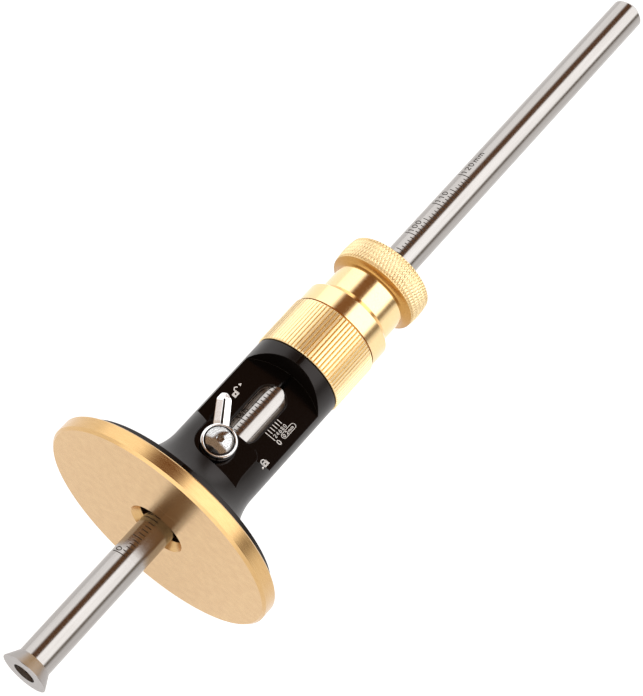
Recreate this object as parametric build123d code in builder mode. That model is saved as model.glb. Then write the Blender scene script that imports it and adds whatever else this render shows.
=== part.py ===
from build123d import *
import os
from math import cos, pi, radians, sin, sqrt

# Wheel marking gauge with a micro-adjuster, in millimetres.
# The origin is the centre of the fence's working face, on the rod's axis.
# +X runs along the rod to its tail, and the cutter points to -X.
# +Z is square to the vernier flat, and the clamp lever points to +X and +Y.

os.makedirs("parts", exist_ok=True)

# --- fits ---
RUNNING = 0.05        # radial clearance of a part that slides or turns in another
RELIEF = 0.3          # gap beside a face that has to stay clear

# --- rod and cutter ---
rod_r = 3.9
extension = 41.2      # cutter's edge to the fence's working face, as set
rod_tail = 174.8
cutter_r = 5.5
cutter_thick = 3.0
cutter_land = 0.15
cutter_root_r = 3.95
cutter_screw_r = 1.45
cutter_screw_length = 8.0
cutter_head_r = 2.45
cutter_head_thick = 0.9
cutter_recess_r = 2.65
cutter_recess_depth = 1.7

# --- fence plate ---
fence_r = 28.85
fence_thick = 3.8
fence_front_chamfer = 0.6
fence_back_chamfer = 0.3
fence_bore_r = 5.8
fence_countersink = 1.05
fence_countersink_depth = 1.8

# --- body ---
flange_r = 26.0
flange_thick = 1.9
flare_r = 14.0
flare_end = 18.8
barrel_r = 10.7
body_end = 46.9
pocket_depth = 7.0    # room behind the working face for the retracted cutter
bush_end = 14.0
bush_r = 5.4
bearing_r = 8.4       # journal that the adjusting ring turns on
bearing_end = 52.0
guide_r = 5.6         # double-D tongue that keeps the carrier from turning
guide_half_width = 4.9
guide_end = 62.0

# --- flats and window on the body ---
flat_z = 3.95
flat_start = 21.1
flat_end = 44.6
flat_end_r = 16.0
window_width = 6.5
window_start = 25.3
window_end = 40.4
window_chamfer = 0.4
seat_z = 8.1
seat_start = 15.2
seat_side = 6.3
seat_corner_r = 4.6
pad_end = 24.6        # the lever's pad stands up out of the vernier flat
pad_far_side = -7.2
pad_corner_r = 2.5

# --- fence screws ---
screw_count = 4
screw_circle_r = 23.0
screw_r = 1.25
screw_head_r = 2.35
screw_head_depth = 1.2
screw_length = 4.5
screw_socket_width = 1.5

# --- adjusting ring and nut ---
washer_thick = 0.3
washer_r = 10.2
ring_tip_r = 11.0
ring_root_r = 10.65
ring_teeth = 78
ring_end = 60.0
ring_chamfer = 0.3
ring_lip_end = 50.6
ring_counterbore_r = 9.5
clip_thick = 0.7
clip_groove_r = 7.9
clip_outer_r = 9.2
clip_gap = 5.0
nut_start = 54.6
nut_undercut_r = 9.9
shoulder_start = 60.3
shoulder_r = 10.7
shoulder_end = 64.9
shoulder_lip = 66.4
shoulder_lip_r = 9.25
thread_r = 8.0        # adjusting thread, 1 mm pitch, drawn as a plain cylinder
nut_thread_end = 59.8

# --- carrier ---
carrier_start = 54.3
carrier_step = 60.3
carrier_end = 71.0
carrier_rear_r = 6.6
spring_seat = 57.6
spring_recess_r = 7.05
carrier_guide_end = 64.4
cone_start = 66.0
cone_small_r = 4.65
cone_large_r = 5.7

# --- anti-backlash spring ---
spring_wire_r = 0.4
spring_mean_r = 6.35
spring_turns = 3.5

# --- collet ---
collet_start = 66.3
collet_flange_start = 71.6
collet_flange_end = 73.25
collet_flange_r = 6.4
collet_slot = 0.5
collet_clip_start = 71.25
collet_clip_end = 71.55
collet_clip_inner_r = 5.95
collet_clip_outer_r = 7.3

# --- lock knob ---
neck_start = 62.0
neck_r = 8.95
neck_end = 73.4
knob_start = 74.0
knob_end = 80.4
knob_edge_r = 10.7
knob_crown_r = 11.05
knob_root_r = 10.7
knob_teeth = 48
knob_chamfer = 0.7
knob_cavity_end = 73.3
knob_rod_clearance = 0.15

# --- clamp lever ---
pivot_x = 20.2
pivot_y = 1.3
lever_angle = 33.0
lever_underside = 8.65
lever_boss_r = 4.0
lever_boss_top = 10.5
lever_boss_chamfer = 0.35
lever_dish_r = 3.15
lever_dish_depth = 0.5
arm_underside = 8.95
arm_top = 10.3
arm_root_half = 1.7
arm_tip_half = 1.4
arm_shoulder = 10.0
arm_length = 11.2
arm_groove = 0.35
stud_r = 2.45
stud_bottom = 6.35
shoe_r = 2.4
shoe_gap = 0.3
cap_r = 3.0
cap_rim = 0.6
cap_dome = 1.1
cap_socket_width = 1.9
cap_socket_depth = 1.0
spring_washer_inner_r = 2.6
spring_washer_outer_r = 3.7
spring_washer_thick = 0.25

# --- worked out from the sizes above ---
bore_r = rod_r + RUNNING
rod_front = cutter_thick - extension
flange_back = fence_thick + flange_thick
flare_centre_r = barrel_r + flare_r
flare_root_r = flare_centre_r - sqrt(flare_r**2 - (flare_end - flange_back) ** 2)
cone_slope = (cone_large_r - cone_small_r) / (carrier_end - cone_start)
collet_cone_end_r = cone_small_r - RUNNING + cone_slope * (collet_flange_start - collet_start)
cap_dome_r = (cap_r**2 + cap_dome**2) / (2 * cap_dome)
ring_start = body_end + washer_thick
clip_start = ring_lip_end + RUNNING
pivot = (pivot_x, pivot_y)
beyond = 2 * barrel_r  # past the barrel's surface, for cuts that must run out


def knurl_points(root_r, tip_r, teeth):
    """Corner points of a straight-knurled section, with flat-topped teeth."""
    points = []
    for tooth in range(teeth):
        for share, radius in ((0.0, root_r), (0.25, tip_r), (0.75, tip_r)):
            angle = 2 * pi * (tooth + share) / teeth
            points.append((radius * cos(angle), radius * sin(angle)))
    return points


# ---------------------------------------------------------------- fence plate
with BuildPart() as fence_plate:
    with BuildSketch(Plane.XY):
        with BuildLine():
            Polyline(
                (0, fence_bore_r + fence_countersink),
                (0, fence_r - fence_front_chamfer),
                (fence_front_chamfer, fence_r),
                (fence_thick - fence_back_chamfer, fence_r),
                (fence_thick, fence_r - fence_back_chamfer),
                (fence_thick, fence_bore_r),
                (fence_countersink_depth, fence_bore_r),
                close=True,
            )
        make_face()
    revolve(axis=Axis.X)
    # blind tapped holes in the back for the flange screws
    with BuildSketch(Plane.YZ.offset(fence_thick)):
        with PolarLocations(screw_circle_r, screw_count, start_angle=45):
            Circle(screw_r + RUNNING / 2)
    extrude(amount=-(screw_length - flange_thick + RELIEF), mode=Mode.SUBTRACT)
fence_plate.part.label = "fence_plate"
export_step(fence_plate.part, "parts/fence_plate.step")

# ------------------------------------------------------------------ body
with BuildPart() as body_housing:
    with BuildSketch(Plane.XY):
        with BuildLine():
            Polyline(
                (flare_end, barrel_r),
                (body_end, barrel_r),
                (body_end, bearing_r),
                (bearing_end, bearing_r),
                (bearing_end, guide_r),
                (guide_end, guide_r),
                (guide_end, bore_r),
                (bush_end, bore_r),
                (bush_end, bush_r),
                (pocket_depth, bush_r),
                (pocket_depth, fence_bore_r),
                (fence_thick, fence_bore_r),
                (fence_thick, flange_r),
                (flange_back, flange_r),
                (flange_back, flare_root_r),
            )
            RadiusArc((flange_back, flare_root_r), (flare_end, barrel_r), -flare_r)
        make_face()
    revolve(axis=Axis.X)
    # flats on the tongue, so that the carrier slides on it but can't turn
    with BuildSketch(Plane.YZ.offset(bearing_end)):
        for side in (-1, 1):
            with Locations((side * (guide_half_width + guide_r), 0)):
                Rectangle(2 * guide_r, 4 * guide_r)
    extrude(amount=guide_end - bearing_end, mode=Mode.SUBTRACT)
    # groove for the retaining ring
    with BuildSketch(Plane.YZ.offset(ring_lip_end)):
        Circle(bearing_r + RELIEF)
        Circle(clip_groove_r, mode=Mode.SUBTRACT)
    extrude(amount=clip_thick + 2 * RUNNING, mode=Mode.SUBTRACT)
    # vernier flat, with a wide round end each way, round the pad of the clamp lever
    with BuildSketch(Plane.XY.offset(flat_z)):
        with Locations((flat_end - flat_end_r, 0)):
            Circle(flat_end_r)
        with Locations((flat_start + flat_end_r, 0)):
            Circle(flat_end_r, mode=Mode.INTERSECT)
        pad_length = 2 * (pad_end - flat_start) + pad_corner_r
        with Locations((pad_end - pad_length / 2, (seat_side + pad_far_side) / 2)):
            RectangleRounded(pad_length, seat_side - pad_far_side, pad_corner_r, mode=Mode.SUBTRACT)
    extrude(amount=beyond, mode=Mode.SUBTRACT)
    # seat of the clamp lever, open to the vernier flat and to -Y
    with BuildSketch(Plane.XY.offset(seat_z)):
        with BuildLine():
            Polyline(
                (seat_start + seat_corner_r, seat_side),
                (pad_end + pad_corner_r, seat_side),
                (pad_end + pad_corner_r, -beyond),
                (seat_start, -beyond),
                (seat_start, seat_side - seat_corner_r),
            )
            RadiusArc(
                (seat_start, seat_side - seat_corner_r),
                (seat_start + seat_corner_r, seat_side),
                seat_corner_r,
            )
        make_face()
    extrude(amount=beyond, mode=Mode.SUBTRACT)
    # reading window down to the rod's bore
    with BuildSketch(Plane.XY):
        with Locations(((window_start + window_end) / 2, 0)):
            SlotOverall(window_end - window_start, window_width)
    extrude(amount=beyond, mode=Mode.SUBTRACT)
    with BuildSketch(Plane.XY.offset(flat_z)):
        with Locations(((window_start + window_end) / 2, 0)):
            SlotOverall(window_end - window_start + 2 * window_chamfer, window_width + 2 * window_chamfer)
    extrude(amount=-window_chamfer, taper=45, mode=Mode.SUBTRACT)
    # tapped hole of the clamp stud, down to the rod's bore
    with BuildSketch(Plane.XY):
        with Locations(pivot):
            Circle(stud_r + RUNNING)
    extrude(amount=beyond, mode=Mode.SUBTRACT)
    # countersunk holes in the flange
    with BuildSketch(Plane.YZ.offset(fence_thick)):
        with PolarLocations(screw_circle_r, screw_count, start_angle=45):
            Circle(screw_r + RUNNING)
    extrude(amount=flange_thick, mode=Mode.SUBTRACT)
    with BuildSketch(Plane.YZ.offset(flange_back)):
        with PolarLocations(screw_circle_r, screw_count, start_angle=45):
            Circle(screw_head_r + RUNNING)
    extrude(amount=-screw_head_depth, taper=45, mode=Mode.SUBTRACT)
body_housing.part.label = "body_housing"
export_step(body_housing.part, "parts/body_housing.step")

# ---------------------------------------------------------- flange screws
with BuildPart() as fence_screws:
    with BuildSketch(Plane.YZ.offset(flange_back)):
        with PolarLocations(screw_circle_r, screw_count, start_angle=45):
            Circle(screw_head_r)
    extrude(amount=-(screw_head_r - screw_r), taper=45)
    with BuildSketch(Plane.YZ.offset(flange_back - screw_length)):
        with PolarLocations(screw_circle_r, screw_count, start_angle=45):
            Circle(screw_r)
    extrude(amount=screw_length - RUNNING)
    # hexagon sockets
    with BuildSketch(Plane.YZ.offset(flange_back)):
        with PolarLocations(screw_circle_r, screw_count, start_angle=45):
            RegularPolygon(screw_socket_width / 2, 6)
    extrude(amount=-screw_head_depth, mode=Mode.SUBTRACT)
fence_screws.part.label = "fence_screws"
export_step(fence_screws.part, "parts/fence_screws.step")

# ------------------------------------------------- front bush of the rod
with BuildPart() as front_bush:
    with BuildSketch(Plane.YZ.offset(pocket_depth)):
        Circle(bush_r)
        Circle(bore_r, mode=Mode.SUBTRACT)
    extrude(amount=bush_end - pocket_depth)
front_bush.part.label = "front_bush"
export_step(front_bush.part, "parts/front_bush.step")

# ------------------------------------------------------------------- rod
with BuildPart() as graduated_rod:
    with BuildSketch(Plane.YZ.offset(rod_front)):
        Circle(rod_r)
    extrude(amount=rod_tail - rod_front)
    chamfer(graduated_rod.edges().group_by(Axis.X)[-1], length=1.0)
    with BuildSketch(Plane.YZ.offset(rod_front)):
        Circle(cutter_screw_r + RUNNING / 2)
    extrude(amount=cutter_screw_length, mode=Mode.SUBTRACT)
graduated_rod.part.label = "graduated_rod"
export_step(graduated_rod.part, "parts/graduated_rod.step")

# ---------------------------------------------------------- cutter wheel
with BuildPart() as cutter_wheel:
    with BuildSketch(Plane.XY):
        with BuildLine():
            Polyline(
                (-extension, cutter_recess_r),
                (-extension, cutter_r),
                (cutter_land - extension, cutter_r),
                (rod_front, cutter_root_r),
                (rod_front, cutter_screw_r + RUNNING),
                (cutter_recess_depth - extension, cutter_screw_r + RUNNING),
                (cutter_recess_depth - extension, cutter_recess_r),
                close=True,
            )
        make_face()
    revolve(axis=Axis.X)
cutter_wheel.part.label = "cutter_wheel"
export_step(cutter_wheel.part, "parts/cutter_wheel.step")

with BuildPart() as cutter_screw:
    head_back = cutter_recess_depth - extension
    with BuildSketch(Plane.YZ.offset(head_back - cutter_head_thick)):
        Circle(cutter_head_r)
    extrude(amount=cutter_head_thick)
    with BuildSketch(Plane.YZ.offset(head_back)):
        Circle(cutter_screw_r)
    extrude(amount=cutter_screw_length)
    # cross recess in the head
    with BuildSketch(Plane.YZ.offset(head_back - cutter_head_thick)):
        Rectangle(1.2 * cutter_head_r, 0.25 * cutter_head_r)
        Rectangle(0.25 * cutter_head_r, 1.2 * cutter_head_r)
    extrude(amount=cutter_head_thick / 2, mode=Mode.SUBTRACT)
cutter_screw.part.label = "cutter_screw"
export_step(cutter_screw.part, "parts/cutter_screw.step")

# --------------------------------------------------- thrust washer of the ring
with BuildPart() as thrust_washer:
    with BuildSketch(Plane.YZ.offset(body_end)):
        Circle(washer_r)
        Circle(bearing_r + RUNNING, mode=Mode.SUBTRACT)
    extrude(amount=washer_thick)
thrust_washer.part.label = "thrust_washer"
export_step(thrust_washer.part, "parts/thrust_washer.step")

# -------------------------------------------------------- retaining ring
with BuildPart() as retaining_ring:
    with BuildSketch(Plane.YZ.offset(clip_start)):
        Circle(clip_outer_r)
        Circle(clip_groove_r + RUNNING, mode=Mode.SUBTRACT)
        with Locations((0, -clip_outer_r)):
            Rectangle(clip_gap, clip_outer_r, mode=Mode.SUBTRACT)
    extrude(amount=clip_thick)
retaining_ring.part.label = "retaining_ring"
export_step(retaining_ring.part, "parts/retaining_ring.step")

# --------------------------------------------------------- adjusting ring
with BuildPart() as adjust_ring:
    with BuildSketch(Plane.XY):
        with BuildLine():
            Polyline(
                (ring_start + RUNNING, bearing_r + RUNNING),
                (ring_start + RUNNING, ring_tip_r - ring_chamfer),
                (ring_start + RUNNING + ring_chamfer, ring_tip_r),
                (ring_end - ring_chamfer, ring_tip_r),
                (ring_end, ring_tip_r - ring_chamfer),
                (ring_end, ring_counterbore_r),
                (ring_lip_end, ring_counterbore_r),
                (ring_lip_end, bearing_r + RUNNING),
                close=True,
            )
        make_face()
    revolve(axis=Axis.X)
    with BuildSketch(Plane.YZ.offset(ring_start)):
        with BuildLine():
            Polyline(*knurl_points(ring_root_r, ring_tip_r, ring_teeth), close=True)
        make_face()
    extrude(amount=ring_end - ring_start, mode=Mode.INTERSECT)
adjust_ring.part.label = "adjust_ring"
export_step(adjust_ring.part, "parts/adjust_ring.step")

# ---------------------------------- threaded nut with the smooth shoulder
with BuildPart() as adjust_nut:
    with BuildSketch(Plane.XY):
        with BuildLine():
            Polyline(
                (nut_start, thread_r + RUNNING),
                (nut_start, ring_counterbore_r),
                (ring_end, ring_counterbore_r),
                (ring_end, nut_undercut_r),
                (shoulder_start, nut_undercut_r),
                (shoulder_start, shoulder_r),
                (shoulder_end, shoulder_r),
                (shoulder_lip, shoulder_lip_r),
                (shoulder_lip, neck_r + RUNNING),
                (nut_thread_end, neck_r + RUNNING),
                (nut_thread_end, thread_r + RUNNING),
                close=True,
            )
        make_face()
    revolve(axis=Axis.X)
adjust_nut.part.label = "adjust_nut"
export_step(adjust_nut.part, "parts/adjust_nut.step")

# ---------------------------------------------------------------- carrier
with BuildPart() as carrier_sleeve:
    with BuildSketch(Plane.XY):
        with BuildLine():
            Polyline(
                (carrier_start, spring_recess_r),
                (carrier_start, thread_r),
                (carrier_step, thread_r),
                (carrier_step, carrier_rear_r),
                (carrier_end, carrier_rear_r),
                (carrier_end, cone_large_r),
                (cone_start, cone_small_r),
                (cone_start, bore_r + RUNNING),
                (spring_seat, bore_r + RUNNING),
                (spring_seat, spring_recess_r),
                close=True,
            )
        make_face()
    revolve(axis=Axis.X)
    # double-D bore that slides on the body's tongue
    with BuildSketch(Plane.YZ.offset(spring_seat)):
        Circle(guide_r + RUNNING)
        Rectangle(2 * (guide_half_width + RUNNING), 4 * guide_r, mode=Mode.INTERSECT)
    extrude(amount=carrier_guide_end - spring_seat, mode=Mode.SUBTRACT)
carrier_sleeve.part.label = "carrier_sleeve"
export_step(carrier_sleeve.part, "parts/carrier_sleeve.step")

# ------------------------------------------------- anti-backlash spring
with BuildPart() as backlash_spring:
    spring_length = spring_seat - bearing_end - 2 * spring_wire_r
    with BuildLine() as coil:
        Helix(
            pitch=spring_length / spring_turns,
            height=spring_length,
            radius=spring_mean_r,
            center=(bearing_end + spring_wire_r, 0, 0),
            direction=(1, 0, 0),
        )
    with BuildSketch(Plane(origin=coil.line @ 0, z_dir=coil.line % 0)):
        Circle(spring_wire_r)
    sweep(path=coil.line, is_frenet=True)
backlash_spring.part.label = "backlash_spring"
export_step(backlash_spring.part, "parts/backlash_spring.step")

# ----------------------------------------------------------------- collet
with BuildPart() as collet:
    with BuildSketch(Plane.XY):
        with BuildLine():
            Polyline(
                (collet_start, bore_r),
                (collet_start, cone_small_r - RUNNING),
                (collet_flange_start, collet_cone_end_r),
                (collet_flange_start, collet_flange_r),
                (collet_flange_end, collet_flange_r),
                (collet_flange_end, bore_r),
                close=True,
            )
        make_face()
    revolve(axis=Axis.X)
    # cross slots that let the jaws close on the rod
    with BuildSketch(Plane.YZ.offset(collet_start)):
        Rectangle(4 * guide_r, collet_slot)
        Rectangle(collet_slot, 4 * guide_r)
    extrude(amount=collet_flange_start - collet_start, mode=Mode.SUBTRACT)
collet.part.label = "collet"
export_step(collet.part, "parts/collet.step")

with BuildPart() as collet_clip:
    with BuildSketch(Plane.YZ.offset(collet_clip_start)):
        Circle(collet_clip_outer_r)
        Circle(collet_clip_inner_r, mode=Mode.SUBTRACT)
        with Locations((0, -collet_clip_outer_r)):
            Rectangle(clip_gap, collet_clip_outer_r, mode=Mode.SUBTRACT)
    extrude(amount=collet_clip_end - collet_clip_start)
collet_clip.part.label = "collet_clip"
export_step(collet_clip.part, "parts/collet_clip.step")

# -------------------------------------------------------------- lock knob
with BuildPart() as lock_knob:
    knob_middle = (knob_start + knob_end) / 2
    with BuildSketch(Plane.XY):
        with BuildLine():
            Polyline(
                (knob_end - knob_chamfer, knob_edge_r),
                (knob_end, knob_edge_r - knob_chamfer),
                (knob_end, bore_r + knob_rod_clearance),
                (knob_cavity_end, bore_r + knob_rod_clearance),
                (knob_cavity_end, collet_flange_r + RELIEF),
                (collet_clip_end + RUNNING, collet_flange_r + RELIEF),
                (collet_clip_end + RUNNING, collet_clip_outer_r + RUNNING),
                (collet_clip_start - RUNNING, collet_clip_outer_r + RUNNING),
                (collet_clip_start - RUNNING, carrier_rear_r + RUNNING),
                (neck_start, carrier_rear_r + RUNNING),
                (neck_start, neck_r),
                (neck_end, neck_r),
                (knob_start, knob_edge_r),
            )
            ThreePointArc(
                (knob_start, knob_edge_r),
                (knob_middle, knob_crown_r),
                (knob_end - knob_chamfer, knob_edge_r),
            )
        make_face()
    revolve(axis=Axis.X)
    with BuildSketch(Plane.YZ.offset(neck_start)):
        with BuildLine():
            Polyline(*knurl_points(knob_root_r, knob_crown_r, knob_teeth), close=True)
        make_face()
    extrude(amount=knob_end - neck_start, mode=Mode.INTERSECT)
lock_knob.part.label = "lock_knob"
export_step(lock_knob.part, "parts/lock_knob.step")

# ------------------------------------------------------------- clamp shoe
with BuildPart() as clamp_shoe:
    with BuildSketch(Plane.XY):
        with Locations(pivot):
            Circle(shoe_r)
    extrude(amount=stud_bottom - RUNNING)
    # the underside is hollowed to the rod's curve
    with BuildSketch(Plane.YZ.offset(pivot_x - 2 * shoe_r)):
        Circle(rod_r + shoe_gap)
    extrude(amount=4 * shoe_r, mode=Mode.SUBTRACT)
clamp_shoe.part.label = "clamp_shoe"
export_step(clamp_shoe.part, "parts/clamp_shoe.step")

# ------------------------------------------------------------ clamp lever
with BuildPart() as clamp_lever:
    with BuildSketch(Plane.XY.offset(lever_underside)):
        with Locations(pivot):
            Circle(lever_boss_r)
    extrude(amount=lever_boss_top - lever_underside)
    chamfer(clamp_lever.edges().group_by(Axis.Z)[-1], length=lever_boss_chamfer)
    arm_direction = (cos(radians(lever_angle)), sin(radians(lever_angle)), 0)
    arm_plane = Plane(origin=(pivot_x, pivot_y, arm_underside), x_dir=arm_direction, z_dir=(0, 0, 1))
    with BuildSketch(arm_plane):
        with BuildLine():
            Polyline(
                (0, -arm_root_half),
                (arm_shoulder, -arm_tip_half),
                (arm_length, 0.4 * arm_tip_half),
                (arm_shoulder, arm_tip_half),
                (0, arm_root_half),
                close=True,
            )
        make_face()
    extrude(amount=arm_top - arm_underside)
    # groove between the arm's two facets
    with BuildSketch(arm_plane.offset(arm_top - arm_underside)):
        with Locations((lever_boss_r + arm_shoulder / 4, 0)):
            Rectangle(arm_shoulder / 2, arm_groove)
    extrude(amount=-arm_groove, mode=Mode.SUBTRACT)
    # dish for the cap screw, and the stud's hole
    with BuildSketch(Plane.XY.offset(lever_boss_top)):
        with Locations(pivot):
            Circle(lever_dish_r)
    extrude(amount=-lever_dish_depth, mode=Mode.SUBTRACT)
    with BuildSketch(Plane.XY.offset(lever_underside)):
        with Locations(pivot):
            Circle(stud_r)
    extrude(amount=beyond, mode=Mode.SUBTRACT)
clamp_lever.part.label = "clamp_lever"
export_step(clamp_lever.part, "parts/clamp_lever.step")

with BuildPart() as clamp_stud:
    stud_top = lever_boss_top - lever_dish_depth
    with BuildSketch(Plane.XY.offset(stud_bottom)):
        with Locations(pivot):
            Circle(stud_r)
    extrude(amount=stud_top - stud_bottom)
clamp_stud.part.label = "clamp_stud"
export_step(clamp_stud.part, "parts/clamp_stud.step")

with BuildPart() as lever_cap_screw:
    cap_top = stud_top + cap_rim + cap_dome
    with BuildSketch(Plane(origin=(pivot_x, pivot_y, 0), x_dir=(1, 0, 0), z_dir=(0, -1, 0))):
        with BuildLine():
            Polyline((0, cap_top), (0, stud_top), (cap_r, stud_top), (cap_r, stud_top + cap_rim))
            RadiusArc((cap_r, stud_top + cap_rim), (0, cap_top), -cap_dome_r)
        make_face()
    revolve(axis=Axis((pivot_x, pivot_y, 0), (0, 0, 1)))
    with BuildSketch(Plane.XY.offset(cap_top)):
        with Locations(pivot):
            RegularPolygon(cap_socket_width / 2, 6)
    extrude(amount=-cap_socket_depth, mode=Mode.SUBTRACT)
lever_cap_screw.part.label = "lever_cap_screw"
export_step(lever_cap_screw.part, "parts/lever_cap_screw.step")

with BuildPart() as lever_washer:
    with BuildSketch(Plane.XY.offset(seat_z)):
        with Locations(pivot):
            Circle(spring_washer_outer_r)
            Circle(spring_washer_inner_r, mode=Mode.SUBTRACT)
    extrude(amount=spring_washer_thick)
lever_washer.part.label = "lever_washer"
export_step(lever_washer.part, "parts/lever_washer.step")
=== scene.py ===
import math

import bmesh
import bpy
from mathutils import Matrix, Vector


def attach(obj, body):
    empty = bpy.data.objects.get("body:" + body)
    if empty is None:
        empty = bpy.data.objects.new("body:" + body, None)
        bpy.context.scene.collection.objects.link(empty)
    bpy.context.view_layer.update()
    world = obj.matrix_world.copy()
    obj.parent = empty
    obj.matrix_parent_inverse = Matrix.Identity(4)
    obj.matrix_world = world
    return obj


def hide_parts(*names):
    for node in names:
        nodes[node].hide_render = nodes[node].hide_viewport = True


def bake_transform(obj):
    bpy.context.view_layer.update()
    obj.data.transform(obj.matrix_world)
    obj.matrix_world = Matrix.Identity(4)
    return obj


# Looks of the wheel marking gauge. Lengths are in metres, and MM turns millimetres into metres.
# The origin is the centre of the fence's working face, +X runs to the rod's tail,
# +Z is square to the vernier flat, and the clamp lever is on the +Y side.
MM = 0.001

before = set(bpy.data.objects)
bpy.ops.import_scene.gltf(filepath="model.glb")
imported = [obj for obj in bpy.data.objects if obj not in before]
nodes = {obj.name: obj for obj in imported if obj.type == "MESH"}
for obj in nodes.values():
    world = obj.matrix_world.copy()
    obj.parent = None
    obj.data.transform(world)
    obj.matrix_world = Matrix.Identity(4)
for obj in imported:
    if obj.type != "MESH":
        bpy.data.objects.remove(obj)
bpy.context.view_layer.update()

# ------------------------------------------------------------------ sizes, in millimetres
ROD_R = 3.9
BARREL_R = 10.7
FLAT_Z = 3.95
FENCE_R = 28.85
# below this radius the knurled brass is painted darker, as painted shade at the roots of its grooves
RING_ROOT_R = 10.62       # the knurled brass is darker below this radius
WINDOW_CENTRE = 32.85
WINDOW_HALF_LENGTH = 7.6
WINDOW_HALF_WIDTH = 3.3
WINDOW_WALL_TOP = 3.5     # the window's walls are bare below this height
SCALE_ZERO = -10.1
SCALE_LENGTH = 120
SCALE_BASELINE = 0.11     # where the marks start, round the rod from its top
ONES_REACH = 1.7
FIVES_REACH = 2.5
TENS_REACH = 4.1
SCALE_LINE = 0.2
DIGIT_LINE = 0.22
DIGIT_HEIGHT = 1.6
DIGIT_BASE = 2.1
VERNIER_ZERO = 30.65
VERNIER_STEP = 0.8
VERNIER_TOP = -3.85
MARK_LIFT = 0.015         # marks stand off their surface by this much
MARK_STEP = 0.3           # longest piece of a mark, so that it follows a curved surface


# ------------------------------------------------------------------ materials
class Material:
    """A node material with a Principled shader, and short ways to add nodes to it."""

    def __init__(self, name, base, metallic, roughness):
        self.material = bpy.data.materials.new(name)
        self.material.use_nodes = True
        self.tree = self.material.node_tree
        self.shader = self.tree.nodes["Principled BSDF"]
        self.shader.inputs["Base Color"].default_value = (*base, 1)
        self.shader.inputs["Metallic"].default_value = metallic
        self.shader.inputs["Roughness"].default_value = roughness

    def node(self, kind, **settings):
        made = self.tree.nodes.new(kind)
        for name, value in settings.items():
            setattr(made, name, value)
        return made

    def link(self, source, target):
        self.tree.links.new(source, target)

    def math(self, operation, a, b=None):
        made = self.node("ShaderNodeMath", operation=operation)
        for socket, value in zip(made.inputs, (a, b)):
            if value is None:
                continue
            if isinstance(value, (int, float)):
                socket.default_value = value
            else:
                self.link(value, socket)
        return made.outputs[0]

    def axes(self):
        """X, Y and Z of the shaded point in the object's own space."""
        split = self.node("ShaderNodeSeparateXYZ")
        self.link(self.node("ShaderNodeTexCoord").outputs["Object"], split.inputs[0])
        return split.outputs

    def radius(self):
        """Distance of the shaded point from the rod's axis."""
        x, y, z = self.axes()
        return self.math("SQRT", self.math("ADD", self.math("MULTIPLY", y, y), self.math("MULTIPLY", z, z)))

    def noise(self, vector, scale, detail=2.0):
        made = self.node("ShaderNodeTexNoise")
        made.inputs["Scale"].default_value = scale
        made.inputs["Detail"].default_value = detail
        if vector is not None:
            self.link(vector, made.inputs["Vector"])
        return made.outputs["Fac"]

    def turned(self, along, across):
        """Noise that is constant round the rod's axis, as turning marks are."""
        x = self.axes()[0]
        joined = self.node("ShaderNodeCombineXYZ")
        self.link(self.math("MULTIPLY", x, along), joined.inputs["X"])
        self.link(self.math("MULTIPLY", self.radius(), across), joined.inputs["Y"])
        return self.noise(joined.outputs[0], 1.0, 3.0)

    def stretched(self, scale_x, scale_y, scale_z):
        """Noise drawn out along the axes with the small scales, as brushing is."""
        mapping = self.node("ShaderNodeMapping")
        mapping.inputs["Scale"].default_value = (scale_x, scale_y, scale_z)
        self.link(self.node("ShaderNodeTexCoord").outputs["Object"], mapping.inputs["Vector"])
        return self.noise(mapping.outputs[0], 1.0, 3.0)

    def spread(self, value, low, high, socket):
        """The 0 to 1 value, brought to the range low to high, drives the shader's socket."""
        made = self.node("ShaderNodeMapRange")
        made.inputs["From Min"].default_value = 0.3
        made.inputs["From Max"].default_value = 0.7
        made.inputs["To Min"].default_value = low
        made.inputs["To Max"].default_value = high
        self.link(value, made.inputs["Value"])
        self.link(made.outputs[0], self.shader.inputs[socket])

    def tint(self, value, dark, light, low=0.3, high=0.7):
        """The value blends the base colour from dark to light."""
        ramp = self.node("ShaderNodeValToRGB")
        ramp.color_ramp.elements[0].position = low
        ramp.color_ramp.elements[0].color = (*dark, 1)
        ramp.color_ramp.elements[1].position = high
        ramp.color_ramp.elements[1].color = (*light, 1)
        self.link(value, ramp.inputs[0])
        self.link(ramp.outputs[0], self.shader.inputs["Base Color"])

    def bump(self, height, distance, strength=1.0):
        made = self.node("ShaderNodeBump")
        made.inputs["Strength"].default_value = strength
        made.inputs["Distance"].default_value = distance
        self.link(height, made.inputs["Height"])
        self.link(made.outputs[0], self.shader.inputs["Normal"])


def satin_brass():
    m = Material("satin_brass", (0.62, 0.40, 0.18), 1.0, 0.24)
    marks = m.turned(9000, 9000)
    m.spread(marks, 0.22, 0.28, "Roughness")
    m.tint(m.noise(None, 28), (0.60, 0.375, 0.16), (0.65, 0.425, 0.19))
    m.bump(marks, 0.0000015)
    return m.material


def polished_brass():
    m = Material("polished_brass", (0.92, 0.68, 0.36), 1.0, 0.14)
    marks = m.turned(7000, 7000)
    m.spread(marks, 0.12, 0.2, "Roughness")
    m.tint(m.noise(None, 90), (0.90, 0.65, 0.33), (0.94, 0.71, 0.40))
    m.bump(marks, 0.000002)
    return m.material


def shaded_brass():
    """The brass under the knob's head, which only sees other brass: its darker, oranger colour is painted
    shade and painted reflection of that brass.
    """
    m = Material("shaded_brass", (0.50, 0.27, 0.075), 1.0, 0.3)
    m.tint(m.noise(None, 90), (0.45, 0.23, 0.06), (0.56, 0.31, 0.09))
    m.bump(m.turned(7000, 7000), 0.000002)
    return m.material


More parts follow.
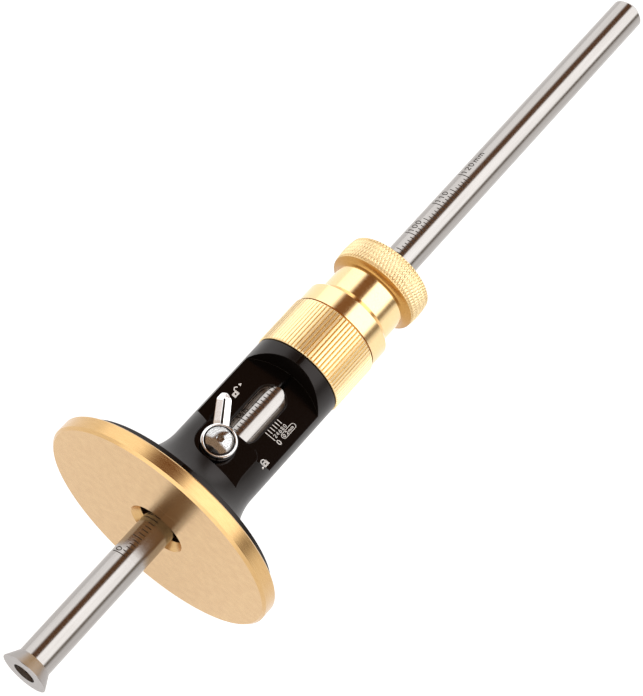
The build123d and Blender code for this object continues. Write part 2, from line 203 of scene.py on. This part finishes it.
def knurled_brass():
    m = Material("knurled_brass", (0.93, 0.72, 0.38), 1.0, 0.36)
    # painted shade: the knurl's roots are coloured darker than its tips
    knurl_root_shade = m.math("MULTIPLY", m.math("SUBTRACT", m.radius(), RING_ROOT_R * MM), 2600)
    m.tint(knurl_root_shade, (0.74, 0.52, 0.24), (0.93, 0.74, 0.43), 0.1, 0.6)
    m.spread(m.noise(None, 1800), 0.32, 0.42, "Roughness")
    m.bump(m.stretched(300, 5000, 5000), 0.000006)
    return m.material


def rod_steel():
    m = Material("rod_steel", (0.38, 0.36, 0.345), 1.0, 0.17)
    grinding = m.turned(12000, 2000)
    m.spread(grinding, 0.13, 0.22, "Roughness")
    m.tint(m.stretched(60, 900, 900), (0.355, 0.335, 0.32), (0.405, 0.385, 0.37))
    m.bump(grinding, 0.0000015)
    return m.material


def cutter_steel():
    m = Material("cutter_steel", (0.36, 0.34, 0.33), 1.0, 0.34)
    marks = m.turned(15000, 15000)
    m.spread(marks, 0.3, 0.4, "Roughness")
    m.bump(marks, 0.000002)
    return m.material


def bright_steel():
    m = Material("bright_steel", (0.58, 0.56, 0.54), 1.0, 0.22)
    m.spread(m.noise(None, 900), 0.17, 0.3, "Roughness")
    m.bump(m.noise(None, 4000), 0.000002)
    return m.material


def black_steel():
    m = Material("black_steel", (0.05, 0.045, 0.045), 1.0, 0.35)
    m.spread(m.noise(None, 1500), 0.3, 0.42, "Roughness")
    m.bump(m.noise(None, 3000), 0.000003)
    return m.material


def chrome_plate():
    m = Material("chrome_plate", (0.86, 0.86, 0.87), 1.0, 0.05)
    m.spread(m.noise(None, 500), 0.03, 0.08, "Roughness")
    m.bump(m.noise(None, 260), 0.00001, 0.4)
    return m.material


def patchy_metal(name, bright, scale, low, high):
    """Polished metal whose small facets show dark and bright patches of the room; the patches are painted
    reflections in its colour.
    """
    m = Material(name, (bright, bright, bright), 1.0, 0.12)
    # painted reflections: noise blends the colour between near black and bright
    m.tint(m.noise(None, scale, 3.0), (0.02, 0.015, 0.015), (bright, bright, bright), low, high)
    m.spread(m.noise(None, 3 * scale), 0.08, 0.2, "Roughness")
    return m.material


def black_polymer():
    m = Material("black_polymer", (0.02, 0.02, 0.02), 0.0, 0.45)
    m.spread(m.noise(None, 1200), 0.38, 0.5, "Roughness")
    m.bump(m.noise(None, 5000), 0.000003)
    return m.material


def black_anodised():
    """Blasted matt black, glossier on the milled flats that face +Z, with bare walls in the window."""
    m = Material("black_anodised", (0.012, 0.011, 0.011), 0.0, 0.34)
    grain = m.noise(None, 7000, 3.0)
    m.shader.inputs["Specular IOR Level"].default_value = 0.32
    m.shader.inputs["Specular Tint"].default_value = (1.0, 0.9, 0.87, 1)
    edge = m.node("ShaderNodeBevel", samples=4)
    edge.inputs["Radius"].default_value = 0.00015
    facing = m.node("ShaderNodeSeparateXYZ")
    m.link(m.node("ShaderNodeTexCoord").outputs["Normal"], facing.inputs[0])
    flat = m.math("GREATER_THAN", facing.outputs["Z"], 0.999)
    x, y, z = m.axes()
    along = m.math("ABSOLUTE", m.math("SUBTRACT", x, WINDOW_CENTRE * MM))
    in_length = m.math("LESS_THAN", along, WINDOW_HALF_LENGTH * MM)
    in_width = m.math("LESS_THAN", m.math("ABSOLUTE", y), WINDOW_HALF_WIDTH * MM)
    below_top = m.math("LESS_THAN", z, WINDOW_WALL_TOP * MM)
    in_height = m.math("MULTIPLY", m.math("GREATER_THAN", z, 0.0), below_top)
    wall = m.math("MULTIPLY", m.math("MULTIPLY", in_width, in_length), in_height)
    m.link(wall, m.shader.inputs["Metallic"])
    matt = m.math("ADD", 0.26, m.math("MULTIPLY", grain, 0.1))
    m.link(m.math("SUBTRACT", matt, m.math("MULTIPLY", flat, 0.18)), m.shader.inputs["Roughness"])
    colour = m.node("ShaderNodeMix", data_type="RGBA")
    m.link(wall, colour.inputs["Factor"])
    colour.inputs["A"].default_value = (0.0016, 0.0014, 0.0014, 1)
    colour.inputs["B"].default_value = (0.62, 0.58, 0.54, 1)
    m.link(colour.outputs["Result"], m.shader.inputs["Base Color"])
    bump = m.node("ShaderNodeBump")
    bump.inputs["Distance"].default_value = 0.000003
    m.link(grain, bump.inputs["Height"])
    m.link(edge.outputs[0], bump.inputs["Normal"])
    m.link(bump.outputs[0], m.shader.inputs["Normal"])
    return m.material


def paint(name, colour):
    m = Material(name, colour, 0.0, 0.55)
    m.spread(m.noise(None, 2500), 0.5, 0.62, "Roughness")
    m.tint(m.noise(None, 4000), tuple(0.9 * c for c in colour), colour)
    return m.material


LOOKS = {
    "fence_plate": satin_brass(),
    "adjust_nut": polished_brass(),
    "adjust_ring": knurled_brass(),
    "graduated_rod": rod_steel(),
    "cutter_wheel": cutter_steel(),
    "fence_screws": black_steel(),
    "lever_washer": bright_steel(),
    "clamp_lever": chrome_plate(),
    "front_bush": black_polymer(),
    "body_housing": black_anodised(),
}
LOOKS["lock_knob"] = LOOKS["adjust_nut"]
LOOKS["carrier_sleeve"] = LOOKS["adjust_nut"]
LOOKS["collet"] = LOOKS["adjust_nut"]
LOOKS["thrust_washer"] = LOOKS["front_bush"]
# the lever's cap screw and the cutter's screw get painted reflections in their colour
LOOKS["lever_cap_screw"] = patchy_metal("domed_chrome", 0.8, 620, 0.44, 0.54)
LOOKS["cutter_screw"] = patchy_metal("socket_screw_steel", 0.5, 1500, 0.47, 0.6)
for name in ("retaining_ring", "backlash_spring", "collet_clip", "clamp_stud", "clamp_shoe"):
    LOOKS[name] = LOOKS["lever_washer"]

for name, obj in nodes.items():
    obj.data.materials.clear()
    obj.data.materials.append(LOOKS[name])


# ------------------------------------------------------------------ mesh pieces
def new_piece(name, bm, material, body=None, smooth=True):
    """Makes an object from the mesh, and lets it ride on the body if there is one."""
    mesh = bpy.data.meshes.new(name)
    bmesh.ops.recalc_face_normals(bm, faces=bm.faces)
    bm.to_mesh(mesh)
    bm.free()
    if smooth is not None:
        for polygon in mesh.polygons:
            polygon.use_smooth = smooth
    mesh.materials.append(material)
    piece = bpy.data.objects.new(name, mesh)
    bpy.context.scene.collection.objects.link(piece)
    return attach(piece, body) if body else piece


def arc(cx, cy, rx, ry, start, end, steps=10):
    """Points of an elliptical arc, angles in degrees."""
    angles = [math.radians(start + (end - start) * i / steps) for i in range(steps + 1)]
    return [(cx + rx * math.cos(a), cy + ry * math.sin(a)) for a in angles]


SIX_TAIL = [(0.47, 0.98), (0.28, 0.86), (0.12, 0.66), (0.04, 0.42)]
SIX = [SIX_TAIL + arc(0.3, 0.3, 0.26, 0.28, 160, 520, 18)]
GLYPHS = {
    "0": [arc(0.3, 0.5, 0.26, 0.46, 90, 450, 20)],
    "1": [[(0.1, 0.76), (0.34, 0.98), (0.34, 0.02)]],
    "2": [arc(0.3, 0.7, 0.25, 0.27, 165, -30) + [(0.05, 0.03), (0.56, 0.03)]],
    "3": [arc(0.29, 0.74, 0.23, 0.23, 150, -85) + arc(0.28, 0.28, 0.27, 0.26, 85, -150)],
    "4": [[(0.44, 0.02), (0.44, 0.98), (0.03, 0.28), (0.6, 0.28)]],
    "5": [[(0.52, 0.97), (0.13, 0.97), (0.08, 0.54)] + arc(0.28, 0.32, 0.27, 0.29, 125, -145)],
    "6": SIX,
    "7": [[(0.04, 0.97), (0.56, 0.97), (0.22, 0.02)]],
    "8": [arc(0.3, 0.75, 0.21, 0.22, 90, 450, 16), arc(0.3, 0.27, 0.26, 0.25, 90, 450, 16)],
    "9": [[(0.6 - x, 1 - y) for x, y in stroke] for stroke in SIX],
    "m": [
        [(0.05, 0.02), (0.05, 0.62)],
        arc(0.24, 0.42, 0.19, 0.2, 180, 0, 8) + [(0.43, 0.02)],
        arc(0.62, 0.42, 0.19, 0.2, 180, 0, 8) + [(0.81, 0.02)],
    ],
    ".": [[(0.05, 0.02), (0.05, 0.1)]],
}
ADVANCE = {"m": 1.08, ".": 0.32}


def text_strokes(text, left, bottom, height):
    """Strokes of a line of text in millimetres, from its lower left corner."""
    strokes = []
    for letter in text:
        for stroke in GLYPHS[letter]:
            strokes.append([(left + height * x, bottom + height * y) for x, y in stroke])
        left += height * ADVANCE.get(letter, 0.84)
    return strokes


def ribbon(bm, points, width, place):
    """A flat band along the points, which place() puts on its surface."""
    fine = [points[0]]
    for a, b in zip(points, points[1:]):
        steps = max(1, math.ceil(math.dist(a, b) / MARK_STEP))
        for i in range(1, steps + 1):
            fine.append((a[0] + (b[0] - a[0]) * i / steps, a[1] + (b[1] - a[1]) * i / steps))
    closed = math.dist(fine[0], fine[-1]) < 1e-6
    rows = []
    for i, (x, y) in enumerate(fine):
        before = fine[i - 1] if i else (fine[-2] if closed else fine[0])
        after = fine[i + 1] if i + 1 < len(fine) else (fine[1] if closed else fine[-1])
        dx, dy = after[0] - before[0], after[1] - before[1]
        length = math.hypot(dx, dy)
        sx, sy = -dy / length * width / 2, dx / length * width / 2
        rows.append((bm.verts.new(place(x + sx, y + sy)), bm.verts.new(place(x - sx, y - sy))))
    for (a, b), (c, d) in zip(rows, rows[1:]):
        bm.faces.new((a, b, d, c))


def on_cylinder(radius):
    """Places (x along the axis, distance round it from +Z towards +Y)."""
    lifted = radius + MARK_LIFT

    def place(x, around):
        angle = around / radius
        return Vector((x, lifted * math.sin(angle), lifted * math.cos(angle))) * MM

    return place


def on_flat(x, y):
    return Vector((x, y, FLAT_Z + MARK_LIFT)) * MM


# ---- scale engraved on the rod, from 0 to 120 mm
bm = bmesh.new()
on_rod = on_cylinder(ROD_R)
for mark in range(SCALE_LENGTH + 1):
    x = SCALE_ZERO + mark
    reach = TENS_REACH if mark % 10 == 0 else FIVES_REACH if mark % 5 == 0 else ONES_REACH
    ribbon(bm, [(x, SCALE_BASELINE), (x, reach)], SCALE_LINE, on_rod)
    if mark % 10 == 0:
        for stroke in text_strokes(str(mark), x + 0.35, DIGIT_BASE, DIGIT_HEIGHT):
            ribbon(bm, stroke, DIGIT_LINE, on_rod)
for stroke in text_strokes("mm", SCALE_ZERO + SCALE_LENGTH + 4.6, DIGIT_BASE, DIGIT_HEIGHT):
    ribbon(bm, stroke, DIGIT_LINE, on_rod)
rod_scale = new_piece("rod_scale", bm, paint("scale_engraving", (0.03, 0.018, 0.012)), "rod", smooth=False)

# ---- vernier on the flat
bm = bmesh.new()
for step in range(6):
    x = VERNIER_ZERO + step * VERNIER_STEP
    ribbon(bm, [(x, VERNIER_TOP), (x, -5.2 if step else -6.6)], 0.17, on_flat)
    if step:
        for stroke in text_strokes(str(2 * step % 10), x - 0.26, -6.4, 0.85):
            ribbon(bm, stroke, 0.13, on_flat)
for stroke in text_strokes("0", VERNIER_ZERO - 0.1, -8.05, 1.2):
    ribbon(bm, stroke, 0.2, on_flat)
for stroke in text_strokes("0.2mm", 32.62, -7.68, 0.78):
    ribbon(bm, stroke, 0.15, on_flat)
box = arc(32.75, -7.3, 0.5, 0.62, 90, 270, 8) + arc(35.9, -7.3, 0.5, 0.62, -90, 90, 8)
ribbon(bm, box + box[:1], 0.13, on_flat)
white = paint("white_marking", (0.85, 0.85, 0.84))
new_piece("vernier_marks", bm, white, "head", smooth=False)


def lock_icon(bm, cx, cy, opened):
    """A small padlock on the flat, with its shackle towards +Y."""
    for row in range(7):
        y = cy - 0.75 + row * 0.15
        if 2 <= row <= 4:
            ribbon(bm, [(cx - 0.75, y), (cx - 0.17, y)], 0.17, on_flat)
            ribbon(bm, [(cx + 0.17, y), (cx + 0.75, y)], 0.17, on_flat)
        else:
            ribbon(bm, [(cx - 0.75, y), (cx + 0.75, y)], 0.17, on_flat)
    lean = 1.0 if opened else 0.0
    shackle = [(cx - 0.48 + lean, cy + 0.2)] + arc(cx + lean, cy + 0.38, 0.48, 0.42, 180, 0, 10)
    if not opened:
        shackle.append((cx + 0.48, cy + 0.2))
    ribbon(bm, shackle, 0.24, on_flat)


def triangle(bm, x, y, place):
    """A small filled triangle that points towards +X."""
    for row in range(4):
        at = x + row * 0.15
        half = 0.32 - 0.08 * row
        ribbon(bm, [(at, y - half), (at, y + half)], 0.16, place)


# ---- lock marks: closed where the lever clamps, open where it releases
bm = bmesh.new()
lock_icon(bm, 25.2, -8.06, False)
triangle(bm, 23.2, -10.3, on_cylinder(BARREL_R))
lock_icon(bm, 33.1, 6.7, True)
triangle(bm, 35.3, 7.1, on_flat)
new_piece("lock_marks", bm, white, "head", smooth=False)

# ---- clamp lever, with a rolled rim on its boss and two facets on its arm
PIVOT = (20.2, 1.3)
LEVER_ANGLE = math.radians(33.0)
BOSS_STEPS = 96
DISH_EDGE_R = 3.26
LEVER_MIDDLE_Z = 9.0
# radius and height of the boss's outline, round from the inside of its foot
BOSS = [
    (2.45, 8.65), (3.85, 8.65), (4.0, 8.8), (4.0, 9.75), (3.97, 10.0), (3.88, 10.22), (3.74, 10.4),
    (3.56, 10.49), (3.42, 10.47), (3.32, 10.36), (3.27, 10.2), (3.25, 10.02), (3.15, 10.0), (2.45, 10.0),
]
# along the arm: half width, height of the ridges, drop to the outer edges, half width and depth of the groove
ARM = [
    (3.3, 1.7, 10.25, 0.5, 0.28, 0.6),
    (4.5, 1.66, 10.28, 0.5, 0.26, 0.6),
    (9.3, 1.62, 10.28, 0.5, 0.2, 0.6),
    (9.6, 1.58, 10.28, 0.5, 0.12, 0.1),
    (9.9, 1.45, 10.24, 0.48, 0.05, 0.01),
    (10.7, 0.95, 9.95, 0.3, 0.04, 0.005),
    (11.15, 0.6, 9.6, 0.2, 0.03, 0.005),
]


def on_lever(along, across, z):
    cos_a, sin_a = math.cos(LEVER_ANGLE), math.sin(LEVER_ANGLE)
    x = PIVOT[0] + along * cos_a - across * sin_a
    y = PIVOT[1] + along * sin_a + across * cos_a
    return Vector((x, y, z)) * MM


def loft(bm, sections, close_ends=False):
    """Joins closed rings of points, all with the same count, by quads."""
    rings = [[bm.verts.new(point) for point in section] for section in sections]
    for a, b in zip(rings, rings[1:]):
        count = len(a)
        for k in range(count):
            bm.faces.new((a[k], a[(k + 1) % count], b[(k + 1) % count], b[k]))
    if close_ends:
        bm.faces.new(rings[0])
        bm.faces.new(rings[-1])


bm = bmesh.new()
boss_rings = []
for r, z in BOSS + BOSS[:1]:
    turns = [2 * math.pi * k / BOSS_STEPS for k in range(BOSS_STEPS)]
    boss_rings.append([on_lever(r * math.cos(a), r * math.sin(a), z) for a in turns])
loft(bm, boss_rings)
bmesh.ops.remove_doubles(bm, verts=bm.verts, dist=1e-7)
boss_faces = len(bm.faces)
arm_sections = []
for along, half, ridge, drop, groove, deep in ARM:
    outline = [
        (-half + 0.1, 8.95), (half - 0.1, 8.95), (half, 9.05), (half, ridge - drop - 0.08),
        (half - 0.08, ridge - drop), (groove + 0.06, ridge - 0.02), (groove, ridge - 0.05),
        (groove * 0.7, ridge - deep), (-groove * 0.7, ridge - deep), (-groove, ridge - 0.05),
        (-groove - 0.06, ridge - 0.02), (-half + 0.08, ridge - drop),
        (-half, ridge - drop - 0.08), (-half, 9.05),
    ]
    arm_sections.append([on_lever(along, across, z) for across, z in outline])
loft(bm, arm_sections, close_ends=True)
bm.faces.ensure_lookup_table()
for index, face in enumerate(bm.faces):
    face.smooth = index < boss_faces
lever = new_piece("faceted_lever", bm, LOOKS["clamp_lever"], "lever", smooth=None)
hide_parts("clamp_lever")
# painted shade: the dish round the cap screw and the groove along the arm take the black steel
lever.data.materials.append(LOOKS["fence_screws"])
for polygon in lever.data.polygons:
    along = Vector((polygon.center.x / MM - PIVOT[0], polygon.center.y / MM - PIVOT[1], 0.0))
    across = abs(along.cross(Vector((math.cos(LEVER_ANGLE), math.sin(LEVER_ANGLE), 0.0))).z)
    dish_painted_shade = along.length < DISH_EDGE_R
    groove_painted_shade = 3.9 < along.length < 9.5 and across < 0.19
    if polygon.center.z > LEVER_MIDDLE_Z * MM and (dish_painted_shade or groove_painted_shade):
        polygon.material_index = 1

# ---- lock knob, with its diamond knurl
KNURL_TEETH = 84
KNURL_PITCH = 2.5
KNURL_DEPTH = 0.22
KNURL_START = 74.05
KNURL_END = 80.15
KNURL_RUN_OUT = 0.25      # over which the grooves fade at each end
NECK_END = 72.6
KNOB_EDGE = 80.3
FLANK_R = 10.1            # outside this radius the head's faces are the knurled ones
HEAD_ROWS = 58
AROUND = 600


def knurl_depth(angle, x):
    """Depth of the two crossing groove families at a point of the head."""
    turn = KNURL_TEETH * angle / (2 * math.pi)
    depth = 0.0
    for hand in (-1, 1):
        phase = (turn + hand * x / KNURL_PITCH) % 1.0
        depth = max(depth, 1 - min(phase, 1 - phase) / 0.26)
    return KNURL_DEPTH * depth


# along the rod and outwards: the neck, the flare, the knurled head, its face and its bore
profile = [(62.0, 6.9), (62.0, 8.8), (62.05, 8.9), (62.15, 8.95), (62.3, 8.95), (72.3, 8.95)]
profile += [(NECK_END, 8.95), (73.1, 9.05), (73.4, 9.35), (73.75, 9.9), (73.95, 10.45)]
for i in range(HEAD_ROWS + 1):
    share = i / HEAD_ROWS
    x = KNURL_START + share * (KNURL_END - KNURL_START)
    crown = 10.62 + 0.4 * math.sin(math.pi * min(1.0, 0.04 + share * 0.92)) ** 0.6
    profile.append((x, crown))
profile += [(KNOB_EDGE, 10.45), (80.37, 10.15), (80.4, 9.7), (80.4, 4.6)]
profile += [(80.3, 4.3), (80.1, 4.15), (66.5, 4.15)]
bm = bmesh.new()
rings = []
for x, r in profile:
    ring = []
    knurled = KNURL_START < x < KNURL_END
    fade = min(1.0, (x - KNURL_START) / KNURL_RUN_OUT, (KNURL_END - x) / KNURL_RUN_OUT)
    for k in range(AROUND):
        angle = 2 * math.pi * k / AROUND
        deep = r - knurl_depth(angle, x) * fade if knurled else r
        ring.append(bm.verts.new(Vector((x, deep * math.sin(angle), deep * math.cos(angle))) * MM))
    rings.append(ring)
for a, b in zip(rings, rings[1:]):
    for k in range(AROUND):
        bm.faces.new((a[k], a[(k + 1) % AROUND], b[(k + 1) % AROUND], b[k]))
knob = new_piece("knurled_knob", bm, LOOKS["adjust_nut"], "knob")
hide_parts("lock_knob")
knob.data.materials.append(LOOKS["adjust_ring"])
# the third material, brass with painted shade, goes on the flare's faces towards -X
knob.data.materials.append(shaded_brass())
for polygon in knob.data.polygons:
    x = polygon.center.x / MM
    radius = math.hypot(polygon.center.y, polygon.center.z) / MM
    if KNURL_START < x < KNOB_EDGE and radius > FLANK_R:
        polygon.material_index = 1
    elif NECK_END < x < KNURL_START and polygon.normal.x < 0:
        polygon.material_index = 2

# ---- anti-backlash spring, which stretches between the body and the carrier
SPRING_START = 52.0
SPRING_END = 57.6
SPRING_TURNS = 3.5
SPRING_R = 6.35
WIRE_R = 0.4
COIL_STEPS = 168
bm = bmesh.new()
sections = []
for k in range(COIL_STEPS + 1):
    share = k / COIL_STEPS
    turn = 2 * math.pi * SPRING_TURNS * share
    x = SPRING_START + WIRE_R + share * (SPRING_END - SPRING_START - 2 * WIRE_R)
    section = []
    for i in range(12):
        across = 2 * math.pi * i / 12
        r = SPRING_R + WIRE_R * math.cos(across)
        section.append(Vector((x + WIRE_R * math.sin(across), r * math.cos(turn), r * math.sin(turn))) * MM)
    sections.append(section)
loft(bm, sections, close_ends=True)
spring = new_piece("coil_spring", bm, LOOKS["lever_washer"])
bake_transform(spring)
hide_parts("backlash_spring")

# ------------------------------------------------------------------ stage
FLOOR_HALF = 9.0          # in metres, so that its edge stays out of views from low down
bm = bmesh.new()
corners = [(-1, -1), (1, -1), (1, 1), (-1, 1)]
bm.faces.new([bm.verts.new((x * FLOOR_HALF, y * FLOOR_HALF, -FENCE_R * MM)) for x, y in corners])
floor_mesh = bpy.data.meshes.new("floor")
bm.to_mesh(floor_mesh)
bm.free()
floor = bpy.data.objects.new("floor", floor_mesh)
bpy.context.scene.collection.objects.link(floor)
white_floor = Material("floor_white", (0.25, 0.25, 0.25), 0.0, 0.9)
white_floor.shader.inputs["Specular IOR Level"].default_value = 0.0
white_floor.shader.inputs["Emission Color"].default_value = (1, 1, 1, 1)
white_floor.shader.inputs["Emission Strength"].default_value = 0.95
floor_mesh.materials.append(white_floor.material)

# ---- surroundings: bands of light that run along the rod, by angle from +Z towards +Y
GAP = (0.088, 0.04, 0.016)
BANDS = [
    (-180, (0.42, 0.42, 0.42)),
    (-84, (0.42, 0.41, 0.40)),
    (-77, (0.12, 0.1, 0.08)),
    (-68, (0.12, 0.1, 0.08)),
    (-57, (1.0, 1.0, 1.0)),
    (-3, (1.0, 1.0, 1.0)),
    (4, GAP),
    (34, GAP),
    (46, (0.8, 0.8, 0.8)),
    (100, (0.7, 0.7, 0.7)),
    (112, (0.4, 0.4, 0.4)),
    (180, (0.42, 0.42, 0.42)),
]
world = bpy.data.worlds.new("studio")
bpy.context.scene.world = world
world.use_nodes = True
tree = world.node_tree
background = tree.nodes["Background"]
background.inputs["Strength"].default_value = 2.3
split = tree.nodes.new("ShaderNodeSeparateXYZ")
tree.links.new(tree.nodes.new("ShaderNodeTexCoord").outputs["Generated"], split.inputs[0])
angle = tree.nodes.new("ShaderNodeMath")
angle.operation = "ARCTAN2"
tree.links.new(split.outputs["Y"], angle.inputs[0])
tree.links.new(split.outputs["Z"], angle.inputs[1])
share = tree.nodes.new("ShaderNodeMapRange")
share.inputs["From Min"].default_value = -math.pi
share.inputs["From Max"].default_value = math.pi
tree.links.new(angle.outputs[0], share.inputs["Value"])
ramp = tree.nodes.new("ShaderNodeValToRGB")
tree.links.new(share.outputs[0], ramp.inputs[0])
stops = ramp.color_ramp.elements
while len(stops) > 1:
    stops.remove(stops[0])
stops[0].position = 0.0
stops[0].color = (*BANDS[0][1], 1)
for degrees, colour in BANDS[1:]:
    stops.new((degrees + 180) / 360).color = (*colour, 1)
# what leans towards -X sees a dim brown side, and then light again far round
ahead = tree.nodes.new("ShaderNodeMapRange")
ahead.inputs["From Min"].default_value = 0.12
ahead.inputs["From Max"].default_value = -0.08
tree.links.new(split.outputs["X"], ahead.inputs["Value"])
side = tree.nodes.new("ShaderNodeValToRGB")
side.color_ramp.elements[0].position = 0.12
side.color_ramp.elements[0].color = (0.8, 0.8, 0.8, 1)
side.color_ramp.elements[1].position = 0.2
side.color_ramp.elements[1].color = (0.2, 0.13, 0.08, 1)
half = tree.nodes.new("ShaderNodeMapRange")
half.inputs["From Min"].default_value = -1.0
tree.links.new(split.outputs["X"], half.inputs["Value"])
tree.links.new(half.outputs[0], side.inputs[0])
fill = tree.nodes.new("ShaderNodeMix")
fill.data_type = "RGBA"
tree.links.new(side.outputs[0], fill.inputs["B"])
tree.links.new(ahead.outputs[0], fill.inputs["Factor"])
tree.links.new(ramp.outputs[0], fill.inputs["A"])
tree.links.new(fill.outputs["Result"], background.inputs["Color"])

# ------------------------------------------------------------------ camera
LOOK_AT = Vector((55.86, 0.0, 0.0)) * MM
DISTANCE = 0.51606
right = Vector((0.6160, -0.7687, 0.1723))
up = Vector((0.6740, 0.6275, 0.3898))
back = Vector((-0.4077, -0.1240, 0.9047))
camera = bpy.data.objects.new("camera", bpy.data.cameras.new("camera"))
camera.data.sensor_width = 36.0
camera.data.lens = 122.6
camera.data.clip_start = 0.01
camera.data.clip_end = 40.0
place = Matrix((right, up, back)).transposed().to_4x4()
place.translation = LOOK_AT + DISTANCE * back
camera.matrix_world = place
bpy.context.scene.collection.objects.link(camera)
bpy.context.scene.camera = camera
bpy.context.scene.view_settings.view_transform = "Standard"
